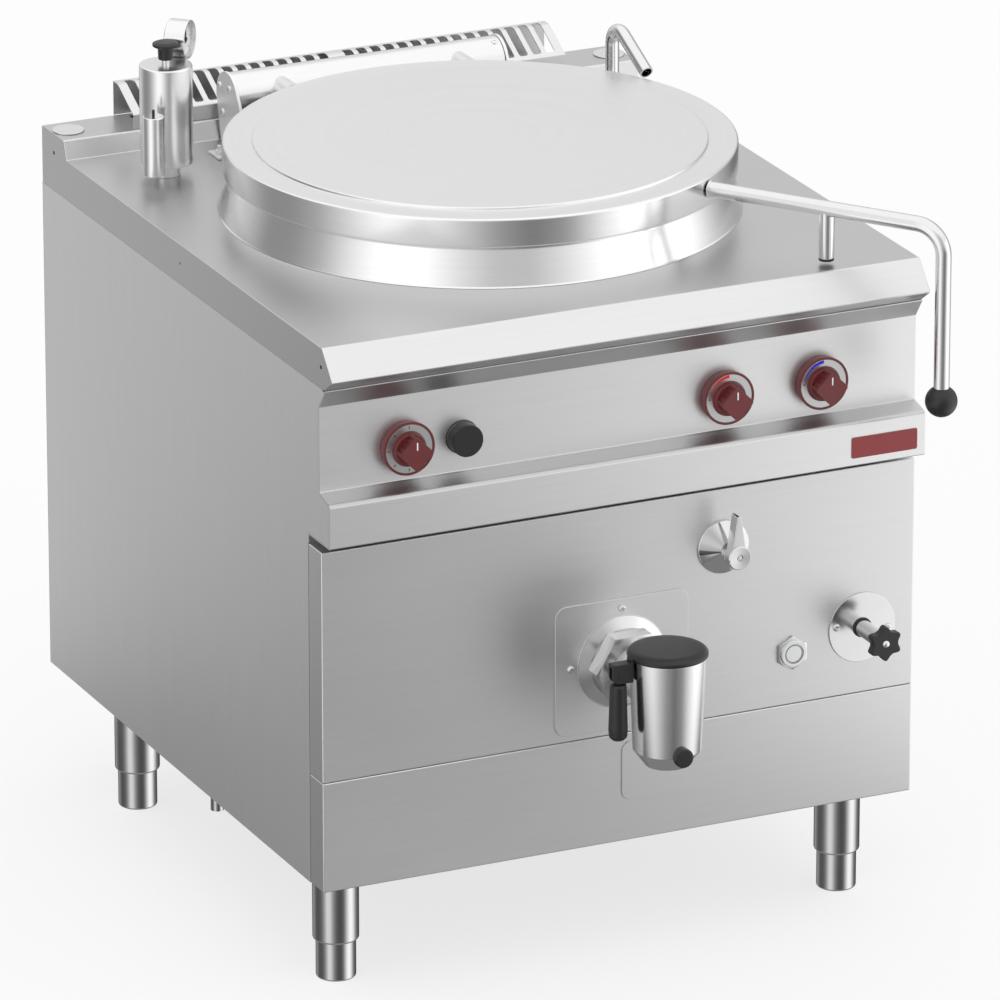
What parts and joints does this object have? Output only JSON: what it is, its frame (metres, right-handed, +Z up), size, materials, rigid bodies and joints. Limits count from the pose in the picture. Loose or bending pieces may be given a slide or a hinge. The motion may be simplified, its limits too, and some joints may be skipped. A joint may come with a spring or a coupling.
{
  "type": "steam jacketed kettle",
  "caption": "Floor standing gas kettle with a jacketed round bowl, hinged lid with a side handle, front drain tap, control knobs and a flue grille.",
  "frame": {"origin": "centre of the box around the part, on the floor under the feet", "axes": "+X to the right seen from the front, +Y from the front to the back, +Z up"},
  "size_m": [0.8, 1.046, 1.0436],
  "materials": {
    "brushed": "satin brushed",
    "polished": "fine polished",
    "frame": "plain dark steel",
    "chrome": "mirror",
    "brass": "cast",
    "black": "matte",
    "red": "satin",
    "rubber": "matte",
    "wool": "mineral wool"
  },
  "bodies": {
    "cabinet": {"worktop": "brushed", "side_panel_left": "brushed", "side_panel_right": "brushed", "back_panel": "brushed", "control_panel": "brushed", "front_panel": "brushed", "kick_panel": "brushed", "inspection_cover": "brushed", "base_frame": "frame", "vessel": "polished", "steam_jacket": "brushed", "insulation": "wool", "burner": "frame", "flue": "frame", "flue_grille": "brushed", "rise_cap_left": "brushed", "rise_cap_right": "brushed", "drain_pipe": "polished", "drain_cover_plate": "brushed", "drain_flange": "polished", "tap_body": "polished", "hinge_plate_left": "brushed", "hinge_plate_right": "brushed", "hinge_shaft": "frame", "hinge_spring": "frame", "safety_valve": "polished", "gauge_case": "polished", "vacuum_valve": "polished", "spout_base": "polished", "burner_valve": "brass", "water_valves": "brass", "lever_valve_rosette": "chrome", "level_plate": "brushed", "level_valve_stem": "polished", "reset_nut": "polished", "condensate_pipe": "polished"},
    "foot_front_left": {"foot_front_left": "polished"},
    "foot_front_right": {"foot_front_right": "polished"},
    "foot_rear_left": {"foot_rear_left": "polished"},
    "foot_rear_right": {"foot_rear_right": "polished"},
    "lid_body": {"lid": "polished", "lid_gasket": "rubber", "lid_handle": "polished", "handle_ball": "black", "stop_tip": "rubber", "hinge_tube": "brushed"},
    "burner_knob_body": {"knob_burner": "red"},
    "hot_water_knob_body": {"knob_hot_water": "red"},
    "cold_water_knob_body": {"knob_cold_water": "red"},
    "igniter_body": {"igniter_button": "black"},
    "reset_body": {"reset_button": "polished"},
    "lever_body": {"lever_valve_handle": "chrome"},
    "star_body": {"star_knob": "black"},
    "spout_body": {"spout": "polished"},
    "plug_body": {"tap_plug": "black"},
    "tap_handle_body": {"tap_handle": "black"},
    "lock_body": {"tap_lock_knob": "black"},
    "pull_body": {"safety_valve_knob": "black"},
    "vacuum_pin_body": {"vacuum_valve_pin": "black"},
    "needle_body": {"gauge_needle": "black"}
  },
  "joints": [
    {"name": "lid_hinge", "type": "hinge", "parent": "cabinet", "child": "lid_body", "pos_m": [0, 0.42, 0.916], "axis": [-1, 0, 0], "range_deg": [0, 90]},
    {"name": "foot_front_left_adjust", "type": "slide", "parent": "cabinet", "child": "foot_front_left", "axis": [0, 0, -1], "range_m": [0, 0.05]},
    {"name": "foot_front_right_adjust", "type": "slide", "parent": "cabinet", "child": "foot_front_right", "axis": [0, 0, -1], "range_m": [0, 0.05]},
    {"name": "foot_rear_left_adjust", "type": "slide", "parent": "cabinet", "child": "foot_rear_left", "axis": [0, 0, -1], "range_m": [0, 0.05]},
    {"name": "foot_rear_right_adjust", "type": "slide", "parent": "cabinet", "child": "foot_rear_right", "axis": [0, 0, -1], "range_m": [0, 0.05]},
    {"name": "burner_knob_turn", "type": "hinge", "parent": "cabinet", "child": "burner_knob_body", "pos_m": [-0.288, -0.3379, 0.711], "axis": [0, 1, 0], "range_deg": [0, 270]},
    {"name": "hot_water_knob_turn", "type": "hinge", "parent": "cabinet", "child": "hot_water_knob_body", "pos_m": [0.1395, -0.3379, 0.711], "axis": [0, -1, 0], "range_deg": [0, 270]},
    {"name": "cold_water_knob_turn", "type": "hinge", "parent": "cabinet", "child": "cold_water_knob_body", "pos_m": [0.268, -0.3379, 0.711], "axis": [0, -1, 0], "range_deg": [0, 270]},
    {"name": "igniter_press", "type": "slide", "parent": "cabinet", "child": "igniter_body", "axis": [0, 1, 0], "range_m": [0, 0.003], "stiffness_N_per_m": 600},
    {"name": "reset_press", "type": "slide", "parent": "cabinet", "child": "reset_body", "axis": [0, 1, 0], "range_m": [0, 0.003], "stiffness_N_per_m": 600},
    {"name": "lever_valve_turn", "type": "hinge", "parent": "cabinet", "child": "lever_body", "pos_m": [0.1373, -0.3413, 0.5165], "axis": [0, 1, 0], "range_deg": [0, 90]},
    {"name": "star_knob_turn", "type": "hinge", "parent": "cabinet", "child": "star_body", "pos_m": [0.3293, -0.3413, 0.3802], "axis": [0, -1, 0], "continuous": true},
    {"name": "spout_swivel", "type": "hinge", "parent": "cabinet", "child": "spout_body", "pos_m": [0.296, 0.307, 0.868], "axis": [0, 0, 1], "range_deg": [0, 100]},
    {"name": "tap_turn", "type": "hinge", "parent": "cabinet", "child": "plug_body", "pos_m": [0, -0.4705, 0.4416], "axis": [0, 0, 1], "range_deg": [0, 90]},
    {"name": "tap_handle_fold", "type": "hinge", "parent": "plug_body", "child": "tap_handle_body", "pos_m": [-0.0662, -0.4705, 0.4254], "axis": [0, 1, 0], "range_deg": [0, 90]},
    {"name": "lock_pull", "type": "slide", "parent": "cabinet", "child": "lock_body", "axis": [0, -1, 0], "range_m": [0, 0.005], "stiffness_N_per_m": 800},
    {"name": "safety_pull", "type": "slide", "parent": "cabinet", "child": "pull_body", "axis": [0, 0, 1], "range_m": [0, 0.006], "stiffness_N_per_m": 1500},
    {"name": "vacuum_pin_rise", "type": "slide", "parent": "cabinet", "child": "vacuum_pin_body", "axis": [0, 0, 1], "range_m": [0, 0.004]},
    {"name": "gauge_needle_turn", "type": "hinge", "parent": "cabinet", "child": "needle_body", "pos_m": [-0.2745, 0.3692, 1.019], "axis": [-0.7431, 0.6691, 0], "range_deg": [0, 270]}
  ]
}
